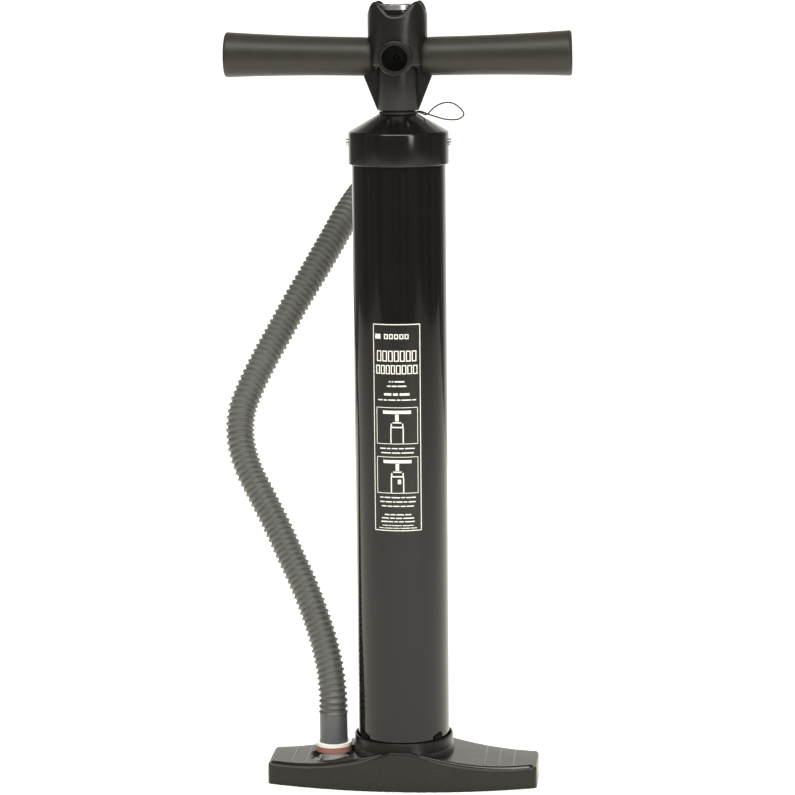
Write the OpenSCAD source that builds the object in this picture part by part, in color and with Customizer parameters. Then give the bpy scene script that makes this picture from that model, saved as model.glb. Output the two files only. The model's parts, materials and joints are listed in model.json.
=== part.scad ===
// Double action hand pump for air tents and mats.
// A foot with two wings carries the barrel, the outlet port and the hose.
// The handle drives a hollow rod, which slides over a fixed centre pipe.
// Frame: origin on the floor under the pump axis, +Z up, the label faces -Y.

/* [Barrel] */
// Outside diameter of the barrel
barrel_d = 76; // [66:1:96]
// Wall of the barrel
barrel_wall = 1.5; // [1:0.1:2.5]
// Length of the barrel
barrel_len = 524; // [320:1:640]
// Width of the label around the barrel, in degrees
label_angle = 63; // [20:1:120]
// Height of the label
label_h = 171; // [60:1:240]

/* [Foot] */
// Length of the foot over both wings
foot_len = 224; // [200:1:280]
// Depth of a wing at its end
wing_end_w = 50; // [44:1:70]
// Height of a wing near its end
wing_h = 20.3; // [19:0.1:26]
// Height of the collar rim above the floor
collar_h = 40; // [38:1:60]
// Wall of the foot moulding
foot_wall = 3; // [2:0.1:4]
// Distance from the barrel wall to the middle of the hose port
port_gap = 21; // [21:1:34]

/* [Cap] */
// Wall of the cap skirt
cap_skirt_wall = 2.55; // [2:0.05:5]
// Height of the cap skirt
cap_skirt_h = 26.5; // [24:0.5:40]
// Height of the cone over the skirt
cap_cone_h = 14; // [12:0.5:18]
// Diameter of the neck at the top of the cone
neck_d = 32.2; // [30:0.1:36]

/* [Rod and piston] */
// Outside diameter of the hollow rod
rod_d = 20; // [18:0.5:22]
// Wall of the hollow rod
rod_wall = 2; // [1:0.1:2.4]
// Outside diameter of the centre pipe
pipe_d = 12; // [9:0.5:12.5]
// Thickness of the piston
piston_h = 28; // [22:1:40]
// Running clearance of shafts in their bushes, on the radius
run_gap = 0.05; // [0.02:0.01:0.1]
// Clearance between moving parts that do not bear on each other
free_gap = 0.3; // [0.2:0.05:0.5]

/* [Handle] */
// Length over both grips
handle_len = 280; // [220:1:340]
// Diameter of a grip next to the hub
grip_root_d = 31.2; // [28:0.1:36]
// Diameter of a grip at its end
grip_end_d = 36.4; // [30:0.1:42]
// Rise of each grip towards its end, in degrees
grip_rise = 1; // [0:0.5:6]
// Diameter of the upper hub
hub_d = 48.2; // [46:0.1:56]
// Diameter of the lower hub
hub_low_d = 33.1; // [30:0.1:38]
// Bore radius of the port in the hub
hub_port_r = 10.4; // [8.8:0.1:11]

/* [Hose] */
// Outside diameter of the hose over its ribs
hose_d = 24.6; // [20:0.1:28]
// Diameter of the tether cord
tether_d = 1; // [0.8:0.1:1.5]

/* [Hidden] */
$fn = 64;
eps = 0.01;

// Barrel
barrel_r = barrel_d / 2;
bore_r = barrel_r - barrel_wall;
seat_z = 12;                          // the barrel stands on this ledge in the foot
label_z = seat_z + barrel_len * 206 / 524;  // lower edge of the label
port_x = barrel_d / 2 + port_gap;    // the hose port stands clear of the barrel
barrel_top = seat_z + barrel_len;
fit = 0.15;                           // easy fit of fixed mouldings
spigot_r = bore_r - free_gap;         // both spigots reach into the barrel
spigot_in_r = spigot_r - 3.2;
seal_r = 1.05;                        // cord radius of the two barrel seals

// Foot
collar_wall = 1.8;
collar_r = barrel_r + 3;
collar_in_r = collar_r - collar_wall;
half_len = foot_len / 2;
bow = collar_r + 2.7 - wing_end_w / 2;          // how far the front edge bulges
front_r = (half_len * half_len + bow * bow) / (2 * bow);
front_c = front_r - collar_r - 2.7;
saddle_x = half_len - 17;             // lowest place of a wing's top
saddle_rise = collar_h - 5.7 - wing_h;
saddle_w = saddle_x - 13;
saddle_r = (saddle_w * saddle_w + saddle_rise * saddle_rise) / (2 * saddle_rise);
tread_drop = 2.3;                     // the tread lies this far below the front bead
bead_w = 4.5;
rib_x = [half_len - 44, half_len - 32, half_len - 20];
plate_t = 3;                          // valve plate under the barrel
cover_t = 2.2;
cover_z = 0.8;
duct_top = seat_z - plate_t - 2.5;
lane_a = [-8, -1];                    // lower chamber's duct, in Y
lane_b = [1.6, 8];                    // centre pipe's duct, in Y

// Port and coupling
port_floor = 8;
port_r = 18;
socket_top = port_floor + 7.2;
port_in_r = 11;
disc_r = 6;
disc_lift = 2.5;
nut_z = 23.5;
nut_h = 7.5;
nut_in_r = hose_d / 2 - 0.3;
nut_r = nut_in_r + 3.2;
cuff_r = nut_in_r - free_gap;
cuff_top = 56;
spout_r = hub_port_r - 0.2;           // the nozzles fit the port in the hub
spout_in_r = spout_r - 1.9;

// Cap
cap_in_r = barrel_r + fit;
cap_r = cap_in_r + cap_skirt_wall;
cap_bottom = barrel_top - 21.5;
shoulder_z = cap_bottom + cap_skirt_h;
cap_top = shoulder_z + cap_cone_h;
neck_r = neck_d / 2;
cone_wall = 3.2;
cone_base_r = cap_r - 1.15;
cone_tilt = atan(cap_cone_h / (cone_base_r - neck_r));
vent_r = (cone_base_r + neck_r) / 2;  // the vent and the intake sit half way up the cone
vent_z = shoulder_z + cap_cone_h / 2;
vent_bore = 3.5;
boss_h = 1.5;
eye_t = 1;
intake_turn = 55;                     // the intake sits this far round from the vent
bush_wall = 2.3;
bush_r = rod_d / 2 + bush_wall;
bump_h = 2.6;
spigot_low = cap_bottom + 7;
cap_seal_z = cap_bottom + 11.5;
pad_depth = 7;                        // the intake pad reaches this far under the cone

// Rod and piston
rod_r = rod_d / 2;
rod_in_r = rod_r - rod_wall;
pipe_r = pipe_d / 2;
pipe_boss_top = seat_z + 14;
rod_bottom = pipe_boss_top + 1;
nut_t = 4.7;
piston_z = rod_bottom + 5;
piston_top = piston_z + piston_h;
collar_t = 3.2;
port_hole_z = piston_top + free_gap + collar_t + 2.5;
seat_ring_z = port_hole_z + 4;
pipe_top = cap_top - 7;
piston_r = bore_r - free_gap;
piston_mid = piston_z + piston_h / 2;
piston_seal_z = [piston_z + 5, piston_top - 5];

// Handle
hub_z = cap_top + bump_h;             // bottom of the hub
grip_z = hub_z + 42.8;                // axis of the grips at the hub
hub_r = hub_d / 2;
hub_low_r = hub_low_d / 2;
hub_ledge = hub_z + 37;               // underside of the upper hub
hub_top = hub_z + 87.4;
scallop_d = 11;
side_scallop_d = 8;
function scallop_r(w, d) = (w * w + d * d) / (2 * d);
arm_r = 14;
fin_top = grip_z - grip_root_d / 2 - 0.3;
rod_top = hub_z + 32.5;
half_handle = handle_len / 2;
grip_root_r = grip_root_d / 2;
grip_end_r = grip_end_d / 2;
bar_r = 10;
bar_in_r = 7.5;
bar_start = 13.5;
bar_end = half_handle - 24;
port_face = hub_r + 5.5;
port_ring_r = hub_port_r + 2.1;
port_depth = 17;

// Gauge in the top of the hub
case_r = hub_r - 4.6;
case_bottom = grip_z + hub_port_r + 3.2;
case_top = hub_top - 6.6;
dial_z = case_top - 2.4;

// Hose route: the centre line from the coupling, over the back and down to the floor
hose_route = [
    [-59, 0, 56], [-59, 0, 60], [-59.5, 0.8, 72], [-62.2, 5, 92], [-67.6, 12, 112], [-75.6, 20, 134],
    [-86, 28, 158], [-98, 37, 181], [-111, 46, 206], [-124, 54, 229], [-136, 61, 251],
    [-143, 68, 274], [-143, 76, 296], [-136, 85, 317], [-125, 95, 340], [-112, 106, 364],
    [-99, 117, 388], [-85, 130, 412], [-71, 146, 437], [-60, 160, 457], [-50, 176, 472],
    [-38, 206, 486], [-31, 241, 488], [-28, 275, 478], [-26, 304, 457], [-25, 323, 428],
    [-25, 332, 394], [-25, 333, 350], [-25, 333, 290], [-25, 333, 230], [-25, 333, 170],
    [-25, 334, 130], [-26, 340, 96], [-28, 354, 66], [-31, 376, 42], [-35, 406, 25],
    [-38, 438, 17], [-39, 470, 15], [-39, 500, 15]];
end_x = -39;
end_y = 500;
end_z = 15;
// Tether route: from the strap round a springy bow, then past the neck to the vent
tether_route = [
    [15.6, 0, 556], [19, 0, 555.2], [23, 0, 554], [28, 0.6, 558.8], [33, 1, 562], [39, 1.2, 563.6],
    [45, 1.2, 562.6], [50, 1, 559], [53, 0.6, 554.6], [51, 0.2, 551.4], [46, 0, 549.8],
    [38, 0.4, 550.2], [31, 1.2, 552], [25, 2.4, 553.8], [20, 6.5, 555.4], [16.5, 12, 556],
    [13.4, 17, 555.2], [10.4, 21.5, 553.8], [7.8, 25.4, 551.8], [6, 28.4, 550]];

// One ring of a swept tube: a circle across the direction d at the point p, turned by the
// side direction s, which the route never runs along
function ring(p, d, r, sides, s) = let (c = cross(d, s), u = c / norm(c), v = cross(d, u))
    [for (k = [0 : sides - 1]) let (a = k * 360 / sides) p + r * (cos(a) * u + sin(a) * v)];
function heading(q, i) = let (a = q[max(i - 1, 0)], b = q[min(i + 1, len(q) - 1)]) (b - a) / norm(b - a);
module sweep(q, r, sides, s) {
    n = len(q);
    points = [for (i = [0 : n - 1]) each ring(q[i], heading(q, i), r, sides, s)];
    walls = [for (i = [0 : n - 2]) for (k = [0 : sides - 1]) let (m = (k + 1) % sides)
        [i * sides + k, (i + 1) * sides + k, (i + 1) * sides + m, i * sides + m]];
    start = [for (k = [0 : sides - 1]) k];
    finish = [for (k = [sides - 1 : -1 : 0]) (n - 1) * sides + k];
    polyhedron(points, concat(walls, [start], [finish]), convexity = 10);
}

// A ring standing on z
module tube(r_out, r_in, z, h) translate([0, 0, z]) difference() {
    cylinder(r = r_out, h = h);
    translate([0, 0, -1]) cylinder(r = r_in, h = h + 2);
}
module o_ring(r, section, z) translate([0, 0, z]) rotate_extrude() translate([r, 0]) circle(r = section, $fn = 24);

// The bow-sided outline of the foot, drawn in by a margin
module foot_plan(margin) intersection() {
    translate([0, front_c]) circle(r = front_r - margin, $fn = 256);
    translate([0, -front_c]) circle(r = front_r - margin, $fn = 256);
    square([foot_len - 2 * margin, foot_len], center = true);
}
// The space over both wings, lowered by drop: its lower side is the saddle of each wing
module over_wings(drop) for (side = [-1, 1]) intersection() {
    translate([side * saddle_x, 0, wing_h + saddle_r - drop]) rotate([90, 0, 0])
        cylinder(r = saddle_r, h = foot_len, center = true, $fn = 256);
    translate([side > 0 ? 0 : -foot_len, -foot_len / 2, 0]) cube(foot_len);
}
module wing_block(margin, drop, bottom) difference() {
    translate([0, 0, bottom]) linear_extrude(collar_h - 5.7 - drop - bottom) foot_plan(margin);
    over_wings(drop);
}
// The tread: behind the front bead and outside the collar
module tread() difference() {
    intersection() {
        over_wings(tread_drop);
        translate([0, front_c, 1]) cylinder(r = front_r - bead_w, h = collar_h, $fn = 256);
        translate([0, 0, 20]) cube([foot_len + 2, foot_len, 2 * collar_h], center = true);
    }
    cylinder(r = collar_r + 1, h = collar_h);
}
function tread_z(x) = wing_h - tread_drop + saddle_r - sqrt(saddle_r * saddle_r - (x - saddle_x) * (x - saddle_x));
module tread_ribs() for (side = [-1, 1]) for (x = rib_x)
    if (side > 0 || x > port_x + port_r + 1) intersection() {
        translate([side * x, 0, tread_z(x) - 0.4]) rotate([90, 0, 0])
            cylinder(r = 1.2, h = foot_len, center = true, $fn = 24);
        linear_extrude(collar_h) foot_plan(bead_w - 1);
    }
// Thin ribs under the free stretches of the wings
module underside_ribs() for (side = [-1, 1]) for (x = [half_len - 55, half_len - 28])
    if (side > 0 || x > port_x + port_r + 4) intersection() {
        translate([side * x - 1, -foot_len / 2, 2]) cube([2, foot_len, collar_h]);
        wing_block(1, tread_drop + 1, 0);
    }
module duct(lane, x_from, x_to) translate([x_to, lane[0], cover_z])
    cube([x_from - x_to, lane[1] - lane[0], duct_top - cover_z]);
module lock_places() for (a = [-52, 52, 180]) rotate(a - 90) children();
module lock_block(gap) rotate(-8 - gap) rotate_extrude(angle = 16 + 2 * gap)
    translate([barrel_r + fit - gap, 0]) square([collar_in_r + 0.2 - barrel_r - fit + 2 * gap, 26]);
// Intake holes of the lower chamber, clear of the ducts
module intake_places() for (a = [-75 : 30 : 75]) rotate(a) translate([18, 0, 0]) children();
module cover_outline(gap, h) linear_extrude(h)
    translate([-port_x - 8 - gap, -13 - gap]) square([port_x + 18 + 2 * gap, 26 + 2 * gap]);
module cover_screw_places() for (x = [-port_x - 5, 7]) for (y = [-10.5, 10.5]) translate([x, y, 0]) children();

module foot_shell() difference() {
    union() {
        difference() {
            wing_block(0, 0, 0);
            tread();
        }
        cylinder(r = collar_r, h = collar_h);
    }
    // hollow underside of the wings, and the hollow under the valve plate
    difference() {
        wing_block(foot_wall, tread_drop + foot_wall - 0.2, -1);
        translate([0, 0, -2]) cylinder(r = collar_r, h = collar_h);
    }
    translate([0, 0, -1]) cylinder(r = spigot_in_r, h = seat_z - plate_t + 1);
}
// The port boss and the duct block hang from the top skin
module port_block() intersection() {
    union() {
        translate([-port_x, 0, cover_z + cover_t]) cylinder(r = port_r + 2.5, h = collar_h);
        translate([-port_x - 8, -13, cover_z + cover_t]) cube([port_x + 18, 26, seat_z - 5]);
    }
    union() {
        wing_block(1, tread_drop + 0.5, 0);
        cylinder(r = collar_r - 1, h = seat_z - 1);
    }
}
module base_foot() color("#3a3935") {
    difference() {
        union() {
            foot_shell();
            port_block();
            tread_ribs();
            underside_ribs();
        }
        // barrel socket: a spigot inside the barrel and a wall outside it
        tube(cap_in_r, spigot_r, seat_z, 12.5);
        translate([0, 0, seat_z]) cylinder(r = spigot_in_r, h = collar_h);
        translate([0, 0, seat_z + 12]) cylinder(r = cap_in_r, h = collar_h);
        translate([0, 0, 28]) cylinder(r = collar_in_r, h = collar_h);
        o_ring(bore_r - seal_r, seal_r + eps, seat_z + 6);
        lock_places() translate([0, 0, 19.8]) lock_block(0.2);
        // intake holes, outlet hole of the lower chamber, the two ducts and the riser
        intake_places() translate([0, 0, -1]) cylinder(r = 2.6, h = seat_z + 2);
        translate([-28, (lane_a[0] + lane_a[1]) / 2, 2]) cylinder(r = 3, h = seat_z);
        duct(lane_a, -25, -port_x - 3);
        duct(lane_b, 5, -port_x + 5.7);
        translate([-port_x - 3, lane_a[0], cover_z]) cube([6, 11, duct_top - cover_z]);
        translate([-port_x, 0, duct_top - 1]) cylinder(r = 4, h = port_floor);
        translate([-port_x + 8, 4, duct_top - 1]) cylinder(r = 2, h = port_floor);
        // pipe socket in the plate, the recess for the port and the bed of the cover
        translate([0, 0, cover_z]) cylinder(r = pipe_r - 1.5, h = seat_z);
        translate([0, 0, seat_z - 2]) cylinder(r = pipe_r, h = seat_z);
        translate([-port_x, 0, port_floor]) cylinder(r = port_r, h = collar_h);
        translate([0, 0, -1]) cover_outline(0.2, cover_z + cover_t + 1);
        cover_screw_places() translate([0, 0, 2]) cylinder(r = 1.1, h = 5.5);
    }
    // socket for the centre pipe, standing on the valve plate
    tube(pipe_r + 3, pipe_r, seat_z, pipe_boss_top - seat_z);
}
module duct_cover() color("#2f2e2b") difference() {
    translate([0, 0, cover_z]) cover_outline(0, cover_t);
    cover_screw_places() {
        translate([0, 0, -1]) cylinder(r = 1.4, h = 8);
        translate([0, 0, cover_z - 1]) cylinder(r = 2.7, h = 2.2);
    }
}
module base_screws() color("silver") cover_screw_places() {
    translate([0, 0, cover_z]) cylinder(r = 2.5, h = 1.2);
    translate([0, 0, cover_z + 1.2]) cylinder(r = 1.1, h = 5);
}

module barrel_tube() color("#1c1b19") difference() {
    tube(barrel_r, bore_r, seat_z, barrel_len);
    cap_screw_places() translate([0, 0, -8]) cylinder(r = 1.6, h = 12);
}
module barrel_seal() color("#202020") o_ring(bore_r - seal_r, seal_r, seat_z + 6);
module barrel_locks() color("#141413") lock_places() translate([0, 0, 20]) lock_block(0);
module label() color("#26251f") rotate(-90 - label_angle / 2) translate([0, 0, label_z])
    rotate_extrude(angle = label_angle) translate([barrel_r, 0]) square([0.15, label_h]);

// Lower chamber: the intake disc lifts off the plate under its retainer
module intake_disc() color("#303030") tube(23, pipe_r + 3 + free_gap, seat_z, 1);
module intake_retainer() color("#888880") tube(pipe_r + 7, pipe_r + 3, seat_z + 3, 1.5);
module centre_pipe() color("silver") tube(pipe_r, pipe_r - 1.5, seat_z - 2, pipe_top - seat_z + 2);

// Outlet: the disc lifts off its seat in the port, inside a cage
module outlet_disc() color("#303030") translate([-port_x, 0, port_floor]) cylinder(r = disc_r, h = 1.2);
module outlet_cage() color("#888880") translate([-port_x, 0, 0]) {
    tube(disc_r + 2, 4.5, port_floor + 1.5 + disc_lift, 1);
    for (a = [90, 210, 330]) rotate(a) translate([disc_r + 0.5, -1, port_floor])
        cube([1.3, 2, 1.6 + disc_lift]);
}
module port_socket() color("#0e0e0d") translate([-port_x, 0, 0])
    tube(port_r, port_in_r, port_floor, socket_top - port_floor);
module hose_nut() color("#e1ded4") translate([-port_x, 0, 0]) difference() {
    union() {
        translate([0, 0, nut_z]) cylinder(r = nut_in_r + 1, h = nut_h);
        translate([0, 0, nut_z + 4.7]) cylinder(r = nut_r, h = nut_h - 4.7);
        translate([0, 0, port_floor + 5.6]) cylinder(r = spout_r, h = nut_z - port_floor - 5.5);
        // bayonet lugs, above the socket
        for (a = [0, 180]) rotate(a) translate([spout_r - 1, -2, socket_top + 1.2]) cube([2.8, 4, 2]);
    }
    translate([0, 0, nut_z + 2]) cylinder(r = nut_in_r, h = nut_h);
    cylinder(r = spout_in_r, h = collar_h);
}
module nut_gasket() color("#96695c") translate([-port_x, 0, 0])
    tube(nut_r - 0.2, nut_in_r + 1, nut_z, 4.7);
module hose_cuff() color("#646462") translate([-port_x, 0, 0])
    tube(cuff_r, spout_in_r, nut_z + 2 + free_gap, cuff_top - nut_z - 2 - free_gap);
module hose() color("#6e706c") translate([59 - port_x, 0, 0]) sweep(hose_route, hose_d / 2, 12, [1, 0, 0]);

module lying_end() translate([end_x + 59 - port_x, end_y, end_z]) rotate([-90, 0, 0]) children();
module end_cuff() color("#646462") lying_end() tube(cuff_r, spout_in_r, 0, 30);
module end_nozzle() color("#e1ded4") lying_end() difference() {
    union() {
        translate([0, 0, 30]) cylinder(r = nut_r - 1, h = 3);
        translate([0, 0, 33]) cylinder(r = spout_r, h = 21);
        translate([0, 0, 18]) cylinder(r = spout_in_r, h = 13);
    }
    translate([0, 0, 17]) cylinder(r = spout_in_r - 2, h = 40);
}

module cap_screw_places() for (side = [-1, 1])
    translate([side * (cap_r - 0.6), 0, cap_bottom + 17.4]) rotate([0, side * 90, 0]) children();
// A place half way up the cone, its axis square to the cone; a turn of 0 is the back
module on_cone(turn) rotate(turn) translate([0, vent_r, vent_z]) rotate([-cone_tilt, 0, 0]) children();
module top_cap() color("#201f1c") difference() {
    union() {
        rotate_extrude() polygon([
            [bush_r, cap_top], [bush_r, barrel_top], [bush_r + bush_wall, barrel_top],
            [bush_r + bush_wall, cap_top - cone_wall], [spigot_in_r, shoulder_z],
            [spigot_in_r, spigot_low], [spigot_r, spigot_low], [spigot_r, barrel_top],
            [cap_in_r, barrel_top], [cap_in_r, cap_bottom], [cap_r - 0.4, cap_bottom],
            [cap_r, cap_bottom + 0.6], [cap_r, shoulder_z - 1.4], [cap_r - 0.35, shoulder_z - 0.5],
            [cone_base_r, shoulder_z], [neck_r, cap_top]]);
        on_cone(0) translate([0, 0, -2]) cylinder(r = vent_bore + 2.9, h = boss_h + 2);
        on_cone(intake_turn) translate([0, 0, -pad_depth]) cylinder(r = 7.5, h = pad_depth - 1);
    }
    on_cone(0) translate([0, 0, -12]) cylinder(r = vent_bore, h = 20);
    on_cone(intake_turn) {
        for (a = [45 : 90 : 315]) rotate(a) translate([3.8, 0, -12]) cylinder(r = 1.4, h = 20);
        translate([0, 0, -12]) cylinder(r = 1, h = 20);
    }
    o_ring(bore_r - seal_r, seal_r + eps, cap_seal_z);
    cap_screw_places() translate([0, 0, -8]) cylinder(r = 1.3, h = 12);
}
module cap_screws() color("silver") cap_screw_places() {
    translate([0, 0, -7]) cylinder(r = 1.3, h = 8.6);
    translate([0, 0, 0.6]) difference() {
        cylinder(r = 2.85, h = 2);
        for (a = [0, 90]) rotate(a) translate([-2, -0.35, 1.1]) cube([4, 0.7, 2]);
    }
}
module cap_seal() color("#202020") o_ring(bore_r - seal_r, seal_r, cap_seal_z);
module rod_bush() color("#d8d4c8") {
    tube(bush_r, rod_r + run_gap, barrel_top - 2.5, cap_top - barrel_top + 2.5);
    tube(bush_r + bush_wall, bush_r, barrel_top - 2.5, 2.5);
}
module rod_seal() color("#262626") tube(rod_r + 4, rod_r + run_gap, barrel_top - 5.5, 2.9);
module seal_retainer() color("#3a3935") {
    tube(bush_r + bush_wall + 2.5, bush_r + bush_wall, barrel_top - 5.6, 10);
    tube(bush_r + bush_wall + 2.5, rod_r + 1, barrel_top - 8, 2.4);
}
module intake_flap() color("#303030") on_cone(intake_turn) tube(6.2, 1, -pad_depth - 0.8, 0.8);
module flap_rivet() color("#888880") on_cone(intake_turn) {
    translate([0, 0, -pad_depth - 0.8]) cylinder(r = 1, h = pad_depth);
    translate([0, 0, -pad_depth - 1.8]) cylinder(r = 2.2, h = 1);
}
module release_plug() color("#b3221c") on_cone(0) difference() {
    union() {
        translate([0, 0, -8]) cylinder(r = vent_bore - run_gap, h = 11);
        translate([0, 0, boss_h + eye_t + 0.2]) cylinder(r = 6, h = 3.4);
        translate([-4, -1.2, boss_h + eye_t + 3]) cube([8, 2.4, 3.2]);
    }
    o_ring(vent_bore - run_gap - 0.6, 0.6 + eps, -3);
}
module plug_seal() color("#202020") on_cone(0) o_ring(vent_bore - run_gap - 0.6, 0.6, -3);
module tether_eye() color("#141413") on_cone(0) tube(5.6, vent_bore + free_gap, boss_h, eye_t);
module tether_strap() color("#141413") tube(15.4, 13.4, cap_top, 1.5);
module tether() color("#141413") translate([0, 0, cap_top - 555]) sweep(tether_route, tether_d / 2, 8, [0, 1, 0]);
module bump_stop() color("#202020") tube(13.2, rod_r + 0.4, cap_top, bump_h);

module piston_body() color("#888880") difference() {
    rotate_extrude() polygon([
        [rod_r + run_gap, piston_z], [rod_r + 4, piston_z], [rod_r + 4, piston_mid - 2],
        [piston_r - 4, piston_mid - 2], [piston_r - 4, piston_z], [piston_r, piston_z],
        [piston_r, piston_top], [piston_r - 4, piston_top], [piston_r - 4, piston_mid + 2],
        [rod_r + 4, piston_mid + 2], [rod_r + 4, piston_top], [rod_r + run_gap, piston_top]]);
    for (z = piston_seal_z) o_ring(bore_r - run_gap - 1.3, 1.3 + eps, z);
}
module piston_seals() color("#202020") for (z = piston_seal_z) o_ring(bore_r - run_gap - 1.3, 1.3, z);

module rod_tube() color("silver") difference() {
    tube(rod_r, rod_in_r, rod_bottom, rod_top - rod_bottom);
    for (a = [0, 90]) rotate(a) translate([0, 0, port_hole_z]) rotate([0, 90, 0])
        cylinder(r = 2, h = 3 * rod_r, center = true);
}
module rod_collar() color("#888880") tube(rod_r + 5, rod_r, piston_top + free_gap, collar_t);
module rod_nut() color("#888880") tube(rod_r + 5, rod_r, rod_bottom, nut_t);
module pipe_seal() color("#202020") tube(rod_in_r, pipe_r + run_gap, rod_bottom + 2, 5);
module transfer_seat() color("#888880") {
    tube(rod_in_r, pipe_r + 0.6, seat_ring_z, 2);
    tube(rod_in_r, pipe_r + 0.6, seat_ring_z + 6, 1.5);
}
module transfer_disc() color("#303030") tube(rod_in_r - free_gap, pipe_r + 0.4, seat_ring_z + 2, 1);

// A place on the pump axis, its own Z along the left or the right grip
module along_grip(side) translate([0, 0, grip_z]) mirror([side < 0 ? 1 : 0, 0, 0])
    rotate([0, 90 - grip_rise, 0]) children();
module facing(y) translate([0, -y, grip_z]) rotate([90, 0, 0]) children();
module handle_hub() color("#282623") difference() {
    union() {
        rotate_extrude() polygon(concat(
            [[0, hub_z], [hub_low_r, hub_z], [hub_low_r, hub_ledge - 1.5], [hub_r - 2, hub_ledge - 1.5],
            [hub_r, hub_ledge]],
            [for (a = [0 : 15 : 90]) [hub_r - 5 + 5 * cos(a), hub_top - 5 + 5 * sin(a)]],
            [[0, hub_top]]));
        for (side = [-1, 1]) {
            along_grip(side) cylinder(r = arm_r, h = 25);
            rotate([90, 0, 0]) translate([0, 0, -2]) linear_extrude(4) polygon([
                [side * 8, hub_z], [side * (hub_low_r + 0.3), hub_z], [side * 27.4, fin_top],
                [side * 18, fin_top], [side * 18, grip_z], [side * 8, grip_z]]);
        }
        facing(hub_low_r - 4) cylinder(r = port_ring_r + 1.3, h = port_face - hub_low_r + 4);
    }
    // gauge pocket, air chamber, rod socket and the scallops of the rim
    translate([0, 0, case_bottom]) cylinder(r = case_r, h = hub_top);
    translate([0, 0, hub_z]) cylinder(r = 5, h = hub_top);
    translate([0, 0, hub_z - 1]) cylinder(r = rod_r, h = rod_top - hub_z + 1);
    translate([0, 0, hub_top - scallop_d + scallop_r(18.4, scallop_d)]) rotate([90, 0, 0])
        cylinder(r = scallop_r(18.4, scallop_d), h = 3 * hub_d, center = true);
    translate([0, 0, hub_top - side_scallop_d + scallop_r(15.5, side_scallop_d)]) rotate([0, 90, 0])
        cylinder(r = scallop_r(15.5, side_scallop_d), h = 3 * hub_d, center = true);
    // front port with the seat of its check valve
    facing(port_face - port_depth) cylinder(r = hub_port_r, h = 2 * port_depth);
    facing(port_face - 5.6) cylinder(r = port_ring_r, h = port_depth);
    facing(-5) cylinder(r = 5, h = port_face - port_depth + 5 - 3);
    facing(0) cylinder(r = 2.4, h = port_face);
    for (side = [-1, 1]) along_grip(side) translate([0, 0, bar_start]) cylinder(r = bar_r, h = half_handle);
}
module handle_bars() color("silver") for (side = [-1, 1]) along_grip(side)
    tube(bar_r, bar_in_r, bar_start, bar_end - bar_start);
function grip_r(z) = grip_root_r + (grip_end_r - grip_root_r) * pow(max(0, (z - 30) / (half_handle - 32)), 2.2);
module grip(side) difference() {
    along_grip(side) difference() {
        rotate_extrude() polygon(concat([[0, 15], [grip_root_r, 15]],
            [for (z = [30 : 9 : half_handle - 8]) [grip_r(z), z]],
            [[grip_end_r, half_handle - 2.5], [grip_end_r - 0.8, half_handle - 0.6],
            [grip_end_r - 2, half_handle], [0, half_handle]]));
        translate([0, 0, 14]) cylinder(r = arm_r, h = 12);
        translate([0, 0, 20]) cylinder(r = bar_r, h = half_handle);
        translate([0, 0, bar_end + 2]) cylinder(r = grip_end_r - 4, h = half_handle);
    }
    translate([0, 0, hub_ledge - 1.5]) cylinder(r = hub_r + eps, h = hub_top);
    translate([0, 0, hub_z]) cylinder(r = hub_low_r + 2, h = hub_top);
}
module left_grip() color("#4c4a44") grip(-1);
module right_grip() color("#4c4a44") grip(1);
module grip_caps() color("#45433d") for (side = [-1, 1]) along_grip(side)
    translate([0, 0, half_handle - 3]) difference() {
        cylinder(r = grip_end_r - 4, h = 2.2);
        translate([-5, -1, 1.2]) cube([10, 2, 2]);
    }
module port_ring() color("#35332f") facing(port_face - 5.6) tube(port_ring_r, hub_port_r, 0, 6.1);
module port_poppet() color("#55534d") {
    facing(port_face - port_depth - 3 - 1.6) cylinder(r = 4.2, h = 1.5);
    facing(port_face - port_depth - 3 - 0.2) cylinder(r = 1.6, h = 3);
}

module gauge_case() color("#141413") {
    difference() {
        translate([0, 0, case_bottom]) cylinder(r = case_r, h = case_top - case_bottom);
        translate([0, 0, case_bottom + 2]) cylinder(r = case_r - 1.8, h = case_top);
        translate([0, 0, case_bottom - 1]) cylinder(r = 1.5, h = 5);
    }
    tube(5, 1.5, case_bottom - 5, 5);
}
module gauge_capsule() color("gold") {
    translate([0, 0, case_bottom + 2]) cylinder(r = 3, h = 2);
    translate([0, 0, case_bottom + 4]) cylinder(r = 11, h = 5);
}
module gauge_dial() color("white") tube(case_r - 1.8, 1.4, dial_z, 0.8);
module gauge_needle() color("#c2281e") {
    translate([0, 0, case_bottom + 9.3]) cylinder(r = 0.7, h = dial_z + 1.6 - case_bottom - 9.3);
    translate([0, 0, dial_z + 1.1]) cylinder(r = 2.2, h = 0.9);
    translate([0, 0, dial_z + 1.1]) rotate(225) linear_extrude(0.6)
        polygon([[-4, -0.7], [12, -0.3], [12, 0.3], [-4, 0.7]]);
}
module gauge_lens() color([0.9, 0.95, 0.95, 0.4]) translate([0, 0, case_top])
    cylinder(r = case_r - 1, h = 1.8);
module gauge_bezel() color("silver") {
    tube(case_r - 0.1, case_r - 1 + 0.05, case_top, 1.8);
    tube(case_r - 0.1, case_r - 2.6, case_top + 1.8, 2.2);
}

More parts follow.
